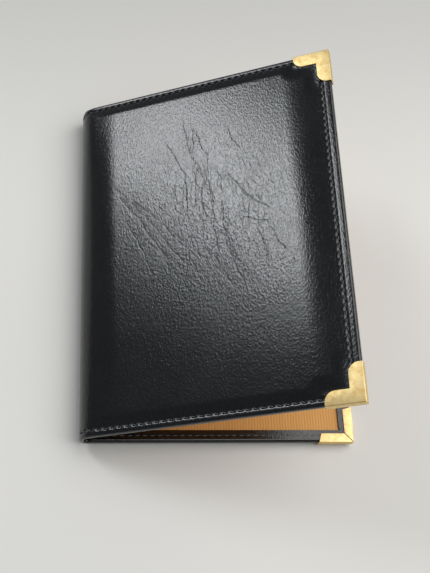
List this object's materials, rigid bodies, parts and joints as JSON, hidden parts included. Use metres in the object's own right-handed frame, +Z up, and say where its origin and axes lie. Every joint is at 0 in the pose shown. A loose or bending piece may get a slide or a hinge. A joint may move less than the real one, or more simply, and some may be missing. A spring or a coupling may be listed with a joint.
{
  "type": "bill folder",
  "caption": "Padded leather bill folder lying part open, with a rounded spine, stitched edges, a tan lining and folded brass guards on its fore-edge corners.",
  "frame": {"origin": "under the middle of the whole folder, on the surface that it lies on", "axes": "+Y along the spine from tail to head, +X from the spine to the fore-edge, +Z up out of the back cover's inside"},
  "size_m": [0.1406, 0.186, 0.0842],
  "materials": {
    "black_leather": "smooth black leather with a fine grain and a soft sheen",
    "tan_lining": "ribbed tan lining cloth",
    "grey_board": "plain grey board",
    "padding_foam": "thin sheet foam",
    "polished_brass": "polished and lightly handled"
  },
  "bodies": {
    "back_cover": {"back_leather": "black_leather", "back_board": "grey_board", "back_padding": "padding_foam", "back_lining": "tan_lining", "back_corner_top": "polished_brass", "back_corner_bottom": "polished_brass"},
    "spine": {"spine_leather": "black_leather", "spine_lining": "tan_lining"},
    "front_cover": {"front_leather": "black_leather", "front_board": "grey_board", "front_padding": "padding_foam", "front_lining": "tan_lining", "front_corner_top": "polished_brass", "front_corner_bottom": "polished_brass"}
  },
  "joints": [
    {"name": "spine_hinge", "type": "hinge", "parent": "back_cover", "child": "spine", "pos_m": [-0.06677, 0, 0.00225], "axis": [0, -1, 0], "range_deg": [-17.1, 81.8]},
    {"name": "cover_hinge", "type": "hinge", "parent": "spine", "child": "front_cover", "pos_m": [-0.06861, 0, 0.01526], "axis": [0, -1, 0], "range_deg": [-14.5, 68.4]}
  ],
  "couplings": [
    {"joint": "cover_hinge", "follows": "spine_hinge", "ratio": 0.8327}
  ]
}
